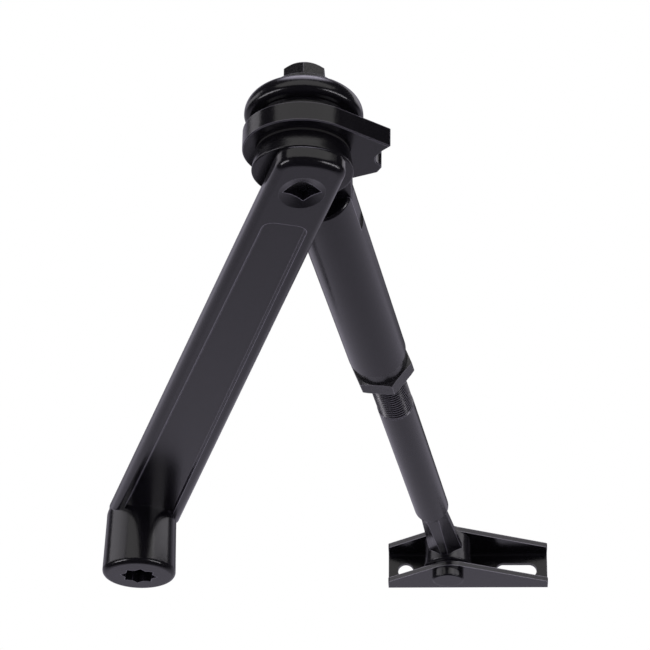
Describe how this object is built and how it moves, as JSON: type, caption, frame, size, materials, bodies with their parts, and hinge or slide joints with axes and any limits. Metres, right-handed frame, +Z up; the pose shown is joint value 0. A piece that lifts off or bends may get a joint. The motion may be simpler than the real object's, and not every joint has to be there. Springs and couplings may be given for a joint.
{
  "type": "door closer arm",
  "caption": "Hold-open door closer arm: flat main arm with a spindle socket, clamped elbow, tubular forearm with a screw-adjusted rod, and a pivoting foot with screw holes.",
  "frame": {"origin": "centre of the spindle socket's mouth, on the lower face of the boss", "axes": "+Z up along the spindle towards the elbow nut, +Y square into the surface the shoe is screwed to, +X along the shoe's base towards its slotted end"},
  "size_m": [0.2092, 0.4368, 0.0805],
  "materials": {
    "black_paint": "glossy black enamel with a slight orange peel",
    "black_steel": "blackened steel, satin",
    "friction_lining": "matte fibre lining",
    "bronze_bush": "plain bearing bronze",
    "spring_steel": "oiled spring steel"
  },
  "bodies": {
    "main_arm_body": {"main_arm": "black_paint", "elbow_stud": "black_steel", "clutch_disc": "black_paint", "lower_lining": "friction_lining", "upper_lining": "friction_lining", "pressure_plate": "black_paint", "lower_disc_spring": "spring_steel", "upper_disc_spring": "spring_steel", "hold_open_cap": "black_paint", "cap_collar": "black_paint"},
    "hold_open_nut_body": {"hold_open_nut": "black_steel"},
    "forearm_body": {"forearm_eye": "black_paint", "eye_bush": "bronze_bush", "forearm_tube": "black_paint"},
    "jam_nut_body": {"jam_nut": "black_steel"},
    "rod_body": {"adjusting_rod": "black_paint", "rod_bush": "bronze_bush"},
    "shoe_body": {"shoe_bracket": "black_paint", "pivot_pin": "black_paint", "lower_shim": "black_steel", "upper_shim": "black_steel", "pin_cap": "black_paint"}
  },
  "joints": [
    {"name": "elbow_hinge", "type": "hinge", "parent": "main_arm_body", "child": "forearm_body", "pos_m": [0.0914, -0.29988, 0.049], "axis": [0, 0, 1], "range_deg": [-150, 10]},
    {"name": "hold_open_nut_turn", "type": "hinge", "parent": "main_arm_body", "child": "hold_open_nut_body", "pos_m": [0.0914, -0.29988, 0.0748], "axis": [0, 0, 1], "range_deg": [-30, 360]},
    {"name": "jam_nut_turn", "type": "hinge", "parent": "forearm_body", "child": "jam_nut_body", "pos_m": [0.11458, -0.12138, 0.049], "axis": [0.1288, 0.9917, 0], "range_deg": [-30, 360]},
    {"name": "rod_slide", "type": "slide", "parent": "forearm_body", "child": "rod_body", "axis": [0.1288, 0.9917, 0], "range_m": [-0.03, 0.03]},
    {"name": "shoe_pivot", "type": "hinge", "parent": "rod_body", "child": "shoe_body", "pos_m": [0.14227, 0.09183, 0.049], "axis": [0, 0, 1], "range_deg": [-85, 85]}
  ]
}
